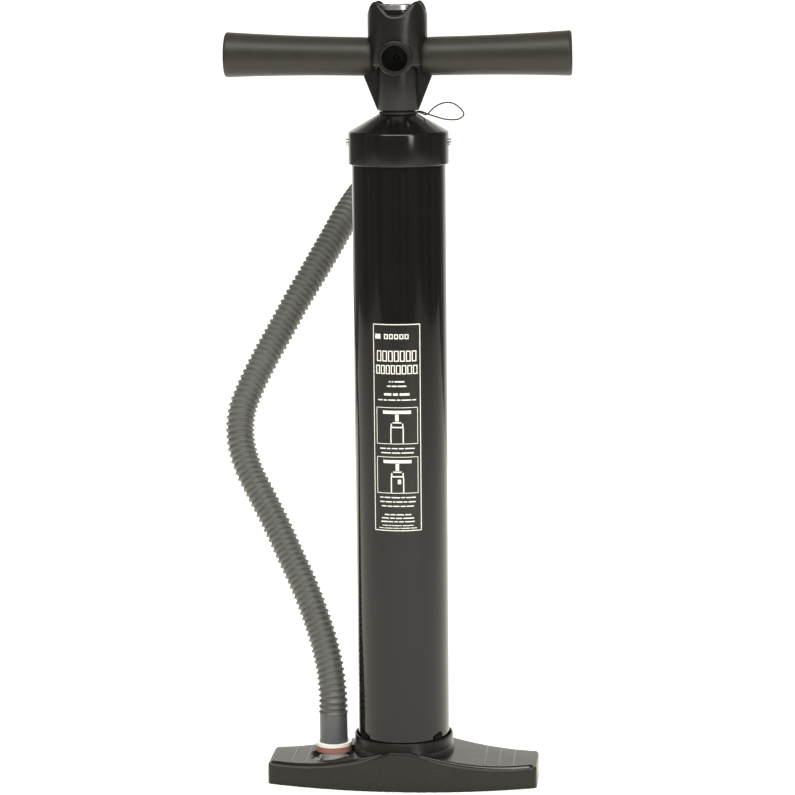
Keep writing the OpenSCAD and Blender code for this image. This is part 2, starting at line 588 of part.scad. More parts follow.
base_foot();
duct_cover();
base_screws();
barrel_tube();
barrel_seal();
barrel_locks();
label();
intake_disc();
intake_retainer();
centre_pipe();
outlet_disc();
outlet_cage();
port_socket();
hose_nut();
nut_gasket();
hose_cuff();
hose();
end_cuff();
end_nozzle();
top_cap();
cap_screws();
cap_seal();
rod_bush();
rod_seal();
seal_retainer();
intake_flap();
flap_rivet();
release_plug();
plug_seal();
tether_strap();
tether();
tether_eye();
bump_stop();
piston_body();
piston_seals();
rod_tube();
rod_collar();
rod_nut();
pipe_seal();
transfer_seat();
transfer_disc();
handle_hub();
handle_bars();
left_grip();
right_grip();
grip_caps();
port_ring();
port_poppet();
gauge_case();
gauge_capsule();
gauge_dial();
gauge_needle();
gauge_bezel();
gauge_lens();
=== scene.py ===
# %% [markdown]
# A double action hand pump, dressed over its CAD frame. All lengths are in metres.
# The cells go in order: the frame, the camera and the two cords, the materials, then each
# piece that needs a better shape than its CAD solid, and last the stage and the lamps.
# %%
import bpy
import bmesh
import json
import math
from mathutils import Matrix, Vector


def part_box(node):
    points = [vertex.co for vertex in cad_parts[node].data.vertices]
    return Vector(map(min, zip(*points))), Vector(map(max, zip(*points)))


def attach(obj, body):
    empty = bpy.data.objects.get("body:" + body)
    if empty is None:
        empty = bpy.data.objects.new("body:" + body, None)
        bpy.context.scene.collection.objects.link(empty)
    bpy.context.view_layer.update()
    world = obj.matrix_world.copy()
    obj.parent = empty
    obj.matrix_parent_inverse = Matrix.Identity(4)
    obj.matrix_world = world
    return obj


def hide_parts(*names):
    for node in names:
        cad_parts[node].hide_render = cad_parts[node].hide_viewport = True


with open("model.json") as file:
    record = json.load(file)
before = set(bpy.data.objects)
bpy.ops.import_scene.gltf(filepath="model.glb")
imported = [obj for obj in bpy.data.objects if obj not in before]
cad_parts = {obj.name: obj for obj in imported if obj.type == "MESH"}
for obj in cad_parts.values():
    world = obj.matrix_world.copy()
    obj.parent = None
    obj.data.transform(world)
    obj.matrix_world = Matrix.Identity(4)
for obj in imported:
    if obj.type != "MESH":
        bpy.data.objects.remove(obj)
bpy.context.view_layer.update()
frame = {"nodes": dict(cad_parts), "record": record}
nodes = frame["nodes"]
print("CAD nodes:", len(nodes))

# %% [markdown]
# The camera stands a little to the right of the front and looks slightly down.
# %%
scene = bpy.context.scene
turn = math.radians(5.2)
tilt = math.radians(9.303)
roll = math.radians(0.5455)
away = 2.3774
eye_height = 0.712
aside = 0.0028
side = Vector((math.cos(turn), math.sin(turn), 0))
ahead_flat = Vector((-math.sin(turn), math.cos(turn), 0))
ahead = ahead_flat * math.cos(tilt) - Vector((0, 0, math.sin(tilt)))
above = ahead_flat * math.sin(tilt) + Vector((0, 0, math.cos(tilt)))
lean_up = above * math.cos(roll) + side * math.sin(roll)
lean_side = side * math.cos(roll) - above * math.sin(roll)
eye = -ahead_flat * away + Vector((0, 0, eye_height)) - side * aside
lens = bpy.data.cameras.new("main_camera")
lens.lens = 133.0
lens.sensor_width = 36.0
camera = bpy.data.objects.new("main_camera", lens)
scene.collection.objects.link(camera)
turned = Matrix((lean_side, lean_up, -ahead)).transposed().to_4x4()
camera.matrix_world = Matrix.Translation(eye) @ turned
scene.camera = camera
print("camera at", [round(v, 3) for v in eye])

# %% [markdown]
# Small helpers for meshes: a new object from points and faces, and a ring swept along a line.
# %%
def add_mesh(name, points, faces, smooth=True):
    mesh = bpy.data.meshes.new(name)
    mesh.from_pydata([tuple(p) for p in points], [], faces)
    work = bmesh.new()
    work.from_mesh(mesh)
    bmesh.ops.recalc_face_normals(work, faces=work.faces)
    work.to_mesh(mesh)
    work.free()
    made = bpy.data.objects.new(name, mesh)
    scene.collection.objects.link(made)
    for face in mesh.polygons:
        face.use_smooth = smooth
    return made


def soften(thing, width, steps=3, angle=40):
    bevel = thing.modifiers.new("edges", "BEVEL")
    bevel.width = width
    bevel.segments = steps
    bevel.limit_method = "ANGLE"
    bevel.angle_limit = math.radians(angle)
    bevel.harden_normals = True
    return thing


def lathe(name, profile, around=96, closed=False):
    points = []
    faces = []
    count = len(profile)
    for k in range(around):
        a = 2 * math.pi * k / around
        for r, z in profile:
            points.append((r * math.cos(a), r * math.sin(a), z))
    for k in range(around):
        n = (k + 1) % around
        for i in range(count if closed else count - 1):
            j = (i + 1) % count
            faces.append((k * count + i, n * count + i, n * count + j, k * count + j))
    return add_mesh(name, points, faces)


def line_through(knots, step):
    """Points at an even spacing on a smooth line through the knots."""
    path = [Vector(k) for k in knots]
    path = [2 * path[0] - path[1]] + path + [2 * path[-1] - path[-2]]
    fine = []
    for i in range(1, len(path) - 2):
        a, b, c, d = path[i - 1], path[i], path[i + 1], path[i + 2]
        for k in range(24):
            t = k / 24
            fine.append(0.5 * ((2 * b) + (c - a) * t + (2 * a - 5 * b + 4 * c - d) * t * t
                               + (3 * b - a - 3 * c + d) * t ** 3))
    fine.append(path[-2])
    total = sum((fine[i + 1] - fine[i]).length for i in range(len(fine) - 1))
    count = max(2, round(total / step))
    even = [fine[0]]
    walked = 0.0
    want = total / count
    for i in range(len(fine) - 1):
        piece = (fine[i + 1] - fine[i]).length
        while walked + piece >= want * len(even) - 1e-9 and len(even) < count:
            share = (want * len(even) - walked) / piece
            even.append(fine[i].lerp(fine[i + 1], share))
        walked += piece
    even.append(fine[-1])
    return even


def sweep(name, path, radii, around, start_side):
    """A closed tube whose ring at path[i] has the radius radii[i]."""
    points = []
    faces = []
    across = Vector(start_side)
    for i, p in enumerate(path):
        way = (path[min(i + 1, len(path) - 1)] - path[max(i - 1, 0)]).normalized()
        across = (across - way * across.dot(way)).normalized()
        other = way.cross(across)
        for k in range(around):
            a = 2 * math.pi * k / around
            points.append(p + radii[i] * (math.cos(a) * across + math.sin(a) * other))
    for i in range(len(path) - 1):
        for k in range(around):
            n = (k + 1) % around
            faces.append((i * around + k, i * around + n, (i + 1) * around + n, (i + 1) * around + k))
    faces.append(tuple(range(around - 1, -1, -1)))
    last = (len(path) - 1) * around
    faces.append(tuple(range(last, last + around)))
    return add_mesh(name, points, faces)


# %% [markdown]
# The hose first: it rises from its coupling, leans back over the top of its bow behind the
# barrel, and comes down to lie on the floor with its nozzle. Each rib is a narrow crest
# between two wider hollows.
# %%
hose_knots = [
    (-59, 0, 56), (-59, 0, 60), (-59.5, 0.8, 72), (-62.2, 5, 92), (-67.6, 12, 112), (-75.6, 20, 134),
    (-86, 28, 158), (-98, 37, 181), (-111, 46, 206), (-124, 54, 229), (-136, 61, 251),
    (-143, 68, 274), (-143, 76, 296), (-136, 85, 317), (-125, 95, 340), (-112, 106, 364),
    (-99, 117, 388), (-85, 130, 412), (-71, 146, 437), (-60, 160, 457), (-50, 176, 472),
    (-38, 206, 486), (-31, 241, 488), (-28, 275, 478), (-26, 304, 457), (-25, 323, 428),
    (-25, 332, 394), (-25, 333, 350), (-25, 333, 290), (-25, 333, 230), (-25, 333, 170),
    (-25, 334, 130), (-26, 340, 96), (-28, 354, 66), (-31, 376, 42), (-35, 406, 25),
    (-38, 438, 17), (-39, 470, 15), (-39, 500, 15),
]
hose_line = line_through([Vector(k) * 0.001 for k in hose_knots], 0.0007)
crest = 0.01235
root = 0.0106
rib_form = [1.0, 0.78, 0.16, 0.0, 0.0, 0.16, 0.78]
hose_radii = [root + (crest - root) * rib_form[i % 7] for i in range(len(hose_line))]
hose_length = sum((hose_line[i + 1] - hose_line[i]).length for i in range(len(hose_line) - 1))
hose = sweep("ribbed_hose", hose_line, hose_radii, 28, (1, 0, 0))
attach(hose, "pump_body")
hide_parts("hose")
[tuple(p) for p in hose_line[::7]] + [tuple(hose_line[-1])]
print("hose", round(hose_length, 3), "points", len(hose_line))

# %% [markdown]
# The tether is a thin springy cord: from its strap on the neck it makes one bow to the right,
# then it goes round the neck to the release plug at the back.
# %%
tether_knots = [
    (15.6, 0, 556), (19, 0, 555.2), (23, 0, 554), (28, 0.6, 558.8), (33, 1, 562), (39, 1.2, 563.6),
    (45, 1.2, 562.6), (50, 1, 559), (53, 0.6, 554.6), (51, 0.2, 551.4), (46, 0, 549.8),
    (38, 0.4, 550.2), (31, 1.2, 552), (25, 2.4, 553.8), (20, 6.5, 555.4), (16.5, 12, 556),
    (13.4, 17, 555.2), (10.4, 21.5, 553.8), (7.8, 25.4, 551.8), (6, 28.4, 550),
]
tether_line = line_through([Vector(k) * 0.001 for k in tether_knots], 0.0011)
tether_length = sum((tether_line[i + 1] - tether_line[i]).length for i in range(len(tether_line) - 1))
tether = sweep("tether_cord", tether_line, [0.0006] * len(tether_line), 12, (0, 1, 0))
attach(tether, "pump_body")
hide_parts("tether")
print("tether", round(tether_length, 3))

# %% [markdown]
# Materials. A Field is a value on its way through the nodes: it takes plus, minus, times and
# divide, from either side, and call adds any other node.
# %%
class Field:
    def __init__(self, tree, socket=None):
        self.tree = tree
        self.socket = socket

    def feed(self, entry, value):
        if isinstance(value, Field):
            self.tree.links.new(value.socket, entry)
        else:
            entry.default_value = value

    def call(self, kind, out=0, setup=None, **inputs):
        """Any node: setup holds its settings, and inputs its sockets by name."""
        node = self.tree.nodes.new(kind)
        for key, value in (setup or {}).items():
            setattr(node, key, value)
        for key, value in inputs.items():
            self.feed(node.inputs[key.replace("_", " ")], value)
        return Field(self.tree, node.outputs[out])

    def math(self, operation, first, second=0.0, third=None):
        node = self.tree.nodes.new("ShaderNodeMath")
        node.operation = operation
        self.feed(node.inputs[0], first)
        self.feed(node.inputs[1], second)
        if third is not None:
            self.feed(node.inputs[2], third)
        return Field(self.tree, node.outputs[0])

    def __add__(self, other):
        return self.math("ADD", self, other)

    def __radd__(self, other):
        return self.math("ADD", other, self)

    def __sub__(self, other):
        return self.math("SUBTRACT", self, other)

    def __rsub__(self, other):
        return self.math("SUBTRACT", other, self)

    def __mul__(self, other):
        return self.math("MULTIPLY", self, other)

    def __rmul__(self, other):
        return self.math("MULTIPLY", other, self)

    def __truediv__(self, other):
        return self.math("DIVIDE", self, other)

    def __rtruediv__(self, other):
        return self.math("DIVIDE", other, self)

    def clamp(self):
        return self.math("MINIMUM", self.math("MAXIMUM", self, 0.0), 1.0)

    def mix(self, share, first, second):
        node = self.tree.nodes.new("ShaderNodeMix")
        node.data_type = "RGBA"
        self.feed(node.inputs["Factor"], share)
        self.feed(node.inputs["A"], first)
        self.feed(node.inputs["B"], second)
        return Field(self.tree, node.outputs["Result"])


def colour(r, g, b):
    """A colour as it looks on a screen, 0 to 255, as a linear colour."""
    return tuple(((v / 255 + 0.055) / 1.055) ** 2.4 if v > 10 else v / 3295 for v in (r, g, b)) + (1.0,)


def plastic(name, base, shade, rough, grain=0.0, grain_size=0.0006, edge=0.0006, metal=0.0,
            blotch=90.0, clear=0.0, shine=0.5):
    """A surface of two near tones in soft blotches, with a fine grain and rounded-looking edges."""
    made = bpy.data.materials.new(name)
    made.use_nodes = True
    tree = made.node_tree
    shader = tree.nodes["Principled BSDF"]
    f = Field(tree)
    place = f.call("ShaderNodeTexCoord", out=3)
    cloud = f.call("ShaderNodeTexNoise", Vector=place, Scale=blotch, Detail=3.0, Roughness=0.6)
    fine = f.call("ShaderNodeTexNoise", Vector=place, Scale=1.0 / grain_size, Detail=2.0, Roughness=0.5)
    speck = ((fine - 0.5) * 0.5 + cloud).clamp()
    f.feed(shader.inputs["Base Color"], f.mix(speck, base, shade))
    f.feed(shader.inputs["Roughness"], (rough + (cloud - 0.5) * 0.3 * rough).clamp())
    shader.inputs["Metallic"].default_value = metal
    shader.inputs["Specular IOR Level"].default_value = shine
    if clear:
        shader.inputs["Transmission Weight"].default_value = clear
    rounded = f.call("ShaderNodeBevel", setup={"samples": 4}, Radius=edge)
    normal = f.call("ShaderNodeBump", Strength=grain, Distance=0.0002, Height=fine, Normal=rounded)
    f.feed(shader.inputs["Normal"], normal)
    return made


print("surface recipe ready")

# %% [markdown]
# Each finish of the pump: two near tones, how rough it is, its grain, and how much it shines.
# A shine below 0.5 makes a dark moulding mirror less than plain plastic does.
# %%
foot_look = plastic("foot_plastic", colour(19, 18, 15), colour(23, 22, 18), 0.28, 0.3, shine=0.27)
bead_look = plastic("foot_bead", colour(20, 19, 16), colour(24, 23, 20), 0.12, 0.05, edge=0.0001)
grip_look = plastic("grip_plastic", colour(30, 27, 22), colour(37, 34, 28), 0.42, 0.5, 0.0005, shine=0.32)
hub_look = plastic("hub_plastic", colour(17, 16, 14), colour(21, 20, 17), 0.3, 0.3, edge=0.0008, shine=0.36)
# The port's finish is near black: it is painted shade for the inside of the hub's port, worn by its liner
# and the poppet.
painted_shade_look = plastic("port_painted_shade", colour(7, 7, 6), colour(10, 9, 8), 0.35, 0.1, shine=0.2)
lock_look = plastic("lock_plastic", colour(8, 8, 7), colour(11, 11, 10), 0.6, 0.1, shine=0.1)
barrel_look = plastic("barrel_plastic", colour(13, 12, 11), colour(17, 16, 14), 0.07, 0.02, 0.002, 0.0003,
                      blotch=25.0, shine=0.3)
cap_look = plastic("cap_plastic", colour(12, 11, 10), colour(16, 15, 13), 0.14, 0.05, edge=0.0005,
                   shine=0.42)
label_look = plastic("label_film", colour(20, 19, 17), colour(25, 24, 21), 0.2, 0.05, 0.002, 0.0001,
                     shine=0.33)
print_look = plastic("label_print", colour(205, 203, 196), colour(218, 216, 208), 0.5, 0.05)
white_look = plastic("white_plastic", colour(222, 219, 208), colour(232, 229, 220), 0.35, 0.05)
cuff_look = plastic("cuff_grey", colour(62, 65, 66), colour(74, 76, 77), 0.4, 0.1)
hose_look = plastic("hose_grey", colour(66, 67, 63), colour(80, 81, 77), 0.36, 0.08, edge=0.0001)
gasket_look = plastic("gasket_salmon", colour(146, 98, 84), colour(160, 114, 100), 0.6, 0.1)
rubber_look = plastic("black_rubber", colour(22, 22, 22), colour(30, 30, 29), 0.55, 0.1)
red_look = plastic("red_plastic", colour(176, 28, 22), colour(190, 40, 32), 0.3, 0.05)
steel_look = plastic("steel", colour(176, 176, 176), colour(196, 196, 195), 0.28, 0.1, metal=1.0)
rod_look = plastic("rod_metal", colour(196, 196, 198), colour(210, 210, 212), 0.2, 0.08, metal=1.0)
nylon_look = plastic("nylon", colour(184, 181, 170), colour(200, 197, 188), 0.45, 0.1)
brass_look = plastic("capsule_brass", colour(196, 160, 84), colour(208, 174, 100), 0.3, 0.05, metal=1.0)
dial_look = plastic("dial_print", colour(226, 226, 222), colour(234, 234, 230), 0.5, 0.02)
lens_look = plastic("lens_clear", colour(235, 240, 240), colour(245, 248, 248), 0.03, 0.0, clear=0.95)
looks = {
    "foot_plastic": foot_look, "grip_plastic": grip_look, "hub_plastic": hub_look,
    "barrel_plastic": barrel_look, "cap_plastic": cap_look, "label_film": label_look,
    "white_plastic": white_look, "clear_grey": cuff_look, "hose_plastic": hose_look,
    "gasket_rubber": gasket_look, "black_rubber": rubber_look, "red_plastic": red_look,
    "steel": steel_look, "rod_metal": rod_look, "nylon": nylon_look,
    "capsule_brass": brass_look, "dial_print": dial_look, "lens": lens_look,
}


print("finishes:", len(looks))

# %% [markdown]
# Every CAD part wears the finish of its material slot, and the two cords get theirs.
# %%
def wear(thing, look):
    thing.data.materials.clear()
    thing.data.materials.append(look)
    return thing


for row in frame["record"]["subparts"]:
    wear(nodes[row["node"]], looks[row["material_slot"]])
# The poppet sits deep in the port and wears the near-black finish: painted shade of the recess.
wear(nodes["port_poppet"], painted_shade_look)
wear(hose, hose_look)
wear(tether, rubber_look)
print("materials:", len(looks))

# %% [markdown]
# Holes are cut with round bars, which are thrown away afterwards. A crease keeps real edges
# crisp and shades the rest smooth, and set_on puts a piece on its body and gives it its finish.
# %%
def bar(name, start, way, radius, length, around=48):
    turned = Vector(way).to_track_quat("Z", "Y").to_matrix().to_4x4()
    points = []
    for z in (0.0, length):
        for k in range(around):
            a = 2 * math.pi * k / around
            points.append(Vector(start) + turned @ Vector((radius * math.cos(a), radius * math.sin(a), z)))
    faces = [(k, (k + 1) % around, around + (k + 1) % around, around + k) for k in range(around)]
    faces.append(tuple(range(around)))
    faces.append(tuple(range(around, 2 * around)))
    return add_mesh(name, points, faces)


def cut(thing, cutters):
    for cutter in cutters:
        hole = thing.modifiers.new("hole", "BOOLEAN")
        hole.operation = "DIFFERENCE"
        hole.object = cutter
        hole.solver = "EXACT"
    bpy.context.view_layer.update()
    finished = bpy.data.meshes.new_from_object(thing.evaluated_get(bpy.context.evaluated_depsgraph_get()))
    thing.modifiers.clear()
    thing.data = finished
    for cutter in cutters:
        bpy.data.objects.remove(cutter)
    crease(thing)
    return thing


def crease(thing, angle=32):
    """Edges sharper than the angle stay crisp, and all the others are shaded smooth."""
    work = bmesh.new()
    work.from_mesh(thing.data)
    for edge in work.edges:
        if len(edge.link_faces) == 2:
            edge.smooth = edge.calc_face_angle(0.0) < math.radians(angle)
    for face in work.faces:
        face.smooth = True
    work.to_mesh(thing.data)
    work.free()
    return thing


def set_on(thing, body, look):
    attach(thing, body)
    wear(thing, look)
    return thing


# %% [markdown]
# The foot: its front and back edges are bows, and its top dips into a saddle on each wing. One
# function gives its outline at any place along the wings.
# %%
foot_half = 0.112
end_round = 0.003
bow_r = 0.3450
bow_middle = 0.3013
saddle_r = 0.247
saddle_x = 0.095
saddle_low = 0.0203
middle_high = 0.0360
lip = 0.0008
edge_r = 0.0020


def bow_edge(x):
    return math.sqrt(bow_r ** 2 - x * x) - bow_middle


def wing_top(x):
    rest = saddle_low + saddle_r - math.sqrt(saddle_r ** 2 - (abs(x) - saddle_x) ** 2)
    return min(rest, middle_high)


def foot_section(x):
    """The outline of the foot in the plane at x: the ends are drawn in, so that they are round."""
    gone = max(0.0, end_round - (foot_half - abs(x)))
    inset = end_round - math.sqrt(max(0.0, end_round ** 2 - gone ** 2))
    deep = bow_edge(x) - inset
    high = wing_top(x) - inset * 0.9
    low = high - 0.0024
    back = low - 0.0002
    out = [(-deep + lip, 0.0), (-deep, lip), (-deep, low - edge_r)]
    for k in range(1, 7):
        a = math.pi / 2 * k / 6
        out.append((-deep + edge_r - edge_r * math.cos(a), low - edge_r + edge_r * math.sin(a)))
    out.append((-deep + 0.0052, low))
    out.append((0.0, (low + back) / 2))
    out.append((deep - 0.006, back))
    for k in range(1, 5):
        a = math.pi / 2 * k / 4
        out.append((deep - end_round + end_round * math.sin(a), back - end_round + end_round * math.cos(a)))
    out.append((deep, lip))
    out.append((deep - lip, 0.0))
    return out


# %% [markdown]
# The foot's sections stand close together along the wings, closer still at the rounded ends, and
# a skin joins them. A round hole lets the hose's coupling in.
# %%
ends = [end_round * (1 - math.cos(math.pi / 2 * k / 5)) for k in range(5)]
straight = foot_half - end_round
stations = [-foot_half + e for e in ends]
stations += [-straight + 2 * straight * k / 108 for k in range(109)]
stations += [foot_half - e for e in reversed(ends)]
rings = [[(x, y, z) for y, z in foot_section(x)] for x in stations]
wide = len(rings[0])
points = [p for one in rings for p in one]
faces = []
for i in range(len(rings) - 1):
    for k in range(wide):
        n = (k + 1) % wide
        faces.append((i * wide + k, (i + 1) * wide + k, (i + 1) * wide + n, i * wide + n))
faces.append(tuple(range(wide)))
faces.append(tuple(range((len(rings) - 1) * wide, len(rings) * wide)))
foot = add_mesh("foot_wings", points, faces)
cut(foot, [bar("port_cutter", (-0.059, 0, 0.008), (0, 0, 1), 0.0215, 0.04, 64)])
set_on(foot, "pump_body", foot_look)
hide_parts("base_foot")
print("foot skin:", len(points), "points")

# %% [markdown]
# The collar round the barrel is turned. A glossy bead runs along the front edge of each wing, and
# thin ribs cross the treads, so that a shoe doesn't slip.
# %%
collar = lathe("foot_collar", [(0.0385, 0.012), (0.0392, 0.0392), (0.0394, 0.0398), (0.0400, 0.0401),
                               (0.0407, 0.0398), (0.0410, 0.0390), (0.0410, 0.0325), (0.0414, 0.0318),
                               (0.0418, 0.0300), (0.0420, 0.012)], 128, closed=True)
set_on(crease(collar, 60), "pump_body", foot_look)
for name, s in (("bead_left", -1), ("bead_right", 1)):
    track = []
    for k in range(61):
        x = 0.014 + 0.0955 * k / 60
        track.append(Vector((s * x, 0.0017 - bow_edge(x), wing_top(x) - 0.0026)))
    thick = [0.0026 * math.sqrt(min(1.0, (k + 0.4) / 14)) for k in range(61)]
    for k, share in ((60, 0.45), (59, 0.85)):
        thick[k] = 0.0026 * share
    bead = sweep(name, track, thick, 20, (0, 1, 0))
    set_on(bead, "pump_body", bead_look)
for rib, x in enumerate([-0.092, -0.080, 0.068, 0.080, 0.092]):
    front = -bow_edge(x) + 0.0056
    back = bow_edge(x) - 0.004
    low = wing_top(x) - 0.0027
    track = [Vector((x, front + (back - front) * k / 10, low)) for k in range(11)]
    raised = sweep("tread_rib_" + str(rib), track, [0.0008] * 11, 12, (1, 0, 0))
    set_on(raised, "pump_body", bead_look)
print("treads done")

# %% [markdown]
# A rim lines the hole of the port, and three locks stand between the collar and the barrel;
# the two at the sides have slanted tops, and the one at the back a level top.
# %%
rim = lathe("port_rim", [(0.0180, 0.0080), (0.0180, 0.0150), (0.0184, 0.0155), (0.0207, 0.0180),
                         (0.0215, 0.0182), (0.0222, 0.0178), (0.0222, 0.0080)], 96, closed=True)
rim.location = (-0.059, 0, 0)
set_on(rim, "pump_body", cap_look)
for name, middle, rise in (("lock_left", -52, -1), ("lock_right", 52, 1), ("lock_back", 180, 0)):
    points = []
    count = 13
    for k in range(count):
        share = k / (count - 1)
        a = math.radians(middle - 90 - 6.2 + 12.4 * share)
        top = 0.0446 + 0.0014 * rise * (2 * share - 1)
        form = ((0.0382, 0.028), (0.0394, 0.028), (0.0394, top - 0.0004), (0.0390, top), (0.0382, top))
        for r, z in form:
            points.append((r * math.cos(a), r * math.sin(a), z))
    faces = [tuple(range(5)), tuple(range((count - 1) * 5, count * 5))]
    for k in range(count - 1):
        for i in range(5):
            j = (i + 1) % 5
            faces.append((k * 5 + i, (k + 1) * 5 + i, (k + 1) * 5 + j, k * 5 + j))
    lock = add_mesh(name, points, faces)
    set_on(crease(lock, 30), "pump_body", lock_look)
    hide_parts("barrel_locks")
print("foot built")

# %% [markdown]
# The cap is turned in one piece, with a round shoulder; the boss of the release plug and the
# intake holes are at the back.
# %%
cap_form = [(0.0124, 0.5550), (0.0158, 0.5550), (0.0162, 0.5547)]
for k in range(9):
    a = math.radians(59.2 - 59.2 * k / 8)
    cap_form.append((0.0377 + 0.0030 * math.cos(a), 0.53883 + 0.0030 * math.sin(a)))
cap_form += [(0.0407, 0.5156), (0.0406, 0.5150), (0.0402, 0.5146), (0.0397, 0.5145), (0.03815, 0.5145),
             (0.03815, 0.5360), (0.0362, 0.5360), (0.0362, 0.5215), (0.0330, 0.5215), (0.0330, 0.5405),
             (0.0147, 0.5516), (0.0147, 0.5360), (0.0124, 0.5360)]
cap = lathe("cap_shell", cap_form, 160, closed=True)
slope = math.atan(14 / 23.45)
outward = Vector((0, math.sin(slope), math.cos(slope)))
vent = Vector((0, 0.02783, 0.548))
turned = Matrix.Rotation(math.radians(55), 4, "Z")
intake = turned @ vent
intake_way = (turned @ outward).normalized()
flat_x = (turned @ Vector((1, 0, 0))).normalized()
flat_y = intake_way.cross(flat_x)
holes = [bar("vent_cutter", vent - outward * 0.012, outward, 0.0035, 0.02)]
for k in range(4):
    a = math.radians(45 + 90 * k)
    place = intake + 0.0038 * (math.cos(a) * flat_x + math.sin(a) * flat_y)
    holes.append(bar("intake_cutter", place - intake_way * 0.012, intake_way, 0.0014, 0.02, 24))
cut(cap, holes)
set_on(crease(cap, 34), "pump_body", cap_look)
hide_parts("top_cap")
boss = lathe("vent_boss", [(0.0035, -0.002), (0.0064, -0.002), (0.0064, 0.0012), (0.0061, 0.0015),
                           (0.0038, 0.0015), (0.0035, 0.0012)], 48, closed=True)
boss.matrix_world = Matrix.Translation(vent) @ outward.to_track_quat("Z", "Y").to_matrix().to_4x4()
set_on(crease(boss), "pump_body", cap_look)
print("cap built")

# %% [markdown]
# The hub: a crown whose rim dips at the front, the back and the sides, a thinner stem below,
# two fins under the grips, and the round port that faces the user.
# %%
hub_r = 0.0241
crown_z = 0.645


def dip(depth, across, reach, power):
    """How far the rim goes down at a distance across from the middle of a dip."""
    return depth * (1 + math.cos(math.pi * min(1.0, abs(across) / reach) ** power)) / 2


def crown_top(a):
    x = hub_r * math.sin(a)
    y = hub_r * math.cos(a)
    front = dip(0.011, x, 0.0180, 1.5) if abs(y) > 0.0145 else 0.0
    beside = dip(0.008, y, 0.0155, 1.3) if abs(y) <= 0.0155 else 0.0
    return crown_z - max(front, beside)


points = []
faces = []
around = 192
for k in range(around):
    a = 2 * math.pi * k / around
    t = crown_top(a)
    form = [(0.0160, 0.5935), (0.0224, 0.5935), (0.0237, 0.5942), (0.0241, 0.5956), (0.0241, t - 0.0120),
            (0.0241, t - 0.0030), (0.0238, t - 0.0016), (0.0231, t - 0.0006), (0.0221, t),
            (0.0211, t - 0.0003), (0.0202, t - 0.0013), (0.0197, t - 0.0030), (0.0196, 0.6270)]
    for r, z in form:
        points.append((r * math.sin(a), r * math.cos(a), z))
deep = len(form)
for k in range(around):
    n = (k + 1) % around
    for i in range(deep):
        j = (i + 1) % deep
        faces.append((k * deep + i, n * deep + i, n * deep + j, k * deep + j))
crown = add_mesh("hub_crown", points, faces)
grip_z = 0.6004
cut(crown, [bar("port_cutter", (0, -0.040, grip_z), (0, 1, 0), 0.0125, 0.0275, 64)])
set_on(crease(crown, 40), "handle", hub_look)
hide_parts("handle_hub")
print("crown done")

# %% [markdown]
# The stem is turned. The port is a ring with a near-black liner, painted shade inside the port, and a fin
# stands under each grip.
# %%
stem = lathe("hub_stem", [(0.0100, 0.5576), (0.0158, 0.5576), (0.0163, 0.5579), (0.01655, 0.5585),
                          (0.01655, 0.5975), (0.0100, 0.5975)], 96, closed=True)
cut(stem, [bar("port_cutter", (0, -0.040, grip_z), (0, 1, 0), 0.0125, 0.0275, 64)])
set_on(crease(stem, 40), "handle", hub_look)
face_user = Matrix.Translation((0, 0, grip_z)) @ Matrix.Rotation(math.radians(90), 4, "X")
port = lathe("hub_port", [(0.0116, 0.0096), (0.0124, 0.0096), (0.0138, 0.0150), (0.0138, 0.0286),
                          (0.0135, 0.0294), (0.0129, 0.0297), (0.0123, 0.0294), (0.0121, 0.0286),
                          (0.0120, 0.0240), (0.0116, 0.0240)], 96, closed=True)
port.matrix_world = face_user
set_on(crease(port, 40), "handle", hub_look)
# The liner is a near-black cup inside the port ring: painted shade for the recess.
shade_liner = lathe("port_shade_liner", [(0.0024, 0.0096), (0.0116, 0.0096), (0.0116, 0.0262), (0.0112, 0.0268),
                             (0.0106, 0.0264), (0.0104, 0.0256), (0.0104, 0.0126), (0.0024, 0.0126)],
              96, closed=True)
shade_liner.matrix_world = face_user
set_on(crease(shade_liner, 40), "handle", painted_shade_look)
for name, s in (("fin_left", -1), ("fin_right", 1)):
    outline = [(0.009, 0.5576), (0.0160, 0.5576), (0.0168, 0.5580), (0.0274, 0.5846), (0.0268, 0.5900),
               (0.0220, 0.5980), (0.009, 0.5980)]
    points = [(s * x, y, z) for y in (-0.0024, 0.0024) for x, z in outline]
    count = len(outline)
    faces = [tuple(range(count)), tuple(range(count, 2 * count))]
    faces += [(k, (k + 1) % count, count + (k + 1) % count, count + k) for k in range(count)]
    fin = add_mesh(name, points, faces, False)
    set_on(soften(fin, 0.0005), "handle", hub_look)
print("hub built")

# %% [markdown]
# The grips: each is turned, thicker towards its end, with a round root against the hub.
# %%
def grip_radius(t):
    return 0.0156 + 0.0026 * max(0.0, (t - 0.030) / 0.108) ** 2.2


grip_form = [(0.0100, 0.0190), (0.0126, 0.0192), (0.0141, 0.0205), (0.0150, 0.0228), (0.0155, 0.0260)]
grip_form += [(grip_radius(0.030 + 0.106 * k / 40), 0.030 + 0.106 * k / 40) for k in range(41)]
grip_form += [(0.0182, 0.1378), (0.0180, 0.1390), (0.0173, 0.1398), (0.0163, 0.1400), (0.0150, 0.1399),
              (0.0144, 0.1394), (0.0142, 0.1384), (0.0142, 0.1300), (0.0100, 0.1300)]
for name, node, s in (("grip_left", "left_grip", -1), ("grip_right", "right_grip", 1)):
    grip = lathe(name, grip_form, 96, closed=True)
    aim = Vector((s * math.cos(math.radians(1)), 0, math.sin(math.radians(1))))
    aimed = aim.to_track_quat("Z", "Y").to_matrix().to_4x4()
    grip.matrix_world = Matrix.Translation((0, 0, grip_z)) @ aimed
    set_on(crease(grip, 50), "handle", grip_look)
    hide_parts(node)
print("grips built")

# %% [markdown]
# The print on the label is thin patches just off the film: a border, plain blocks and bars in
# place of words, and two small drawings of a pump.
# %%
label_points = []
label_faces = []


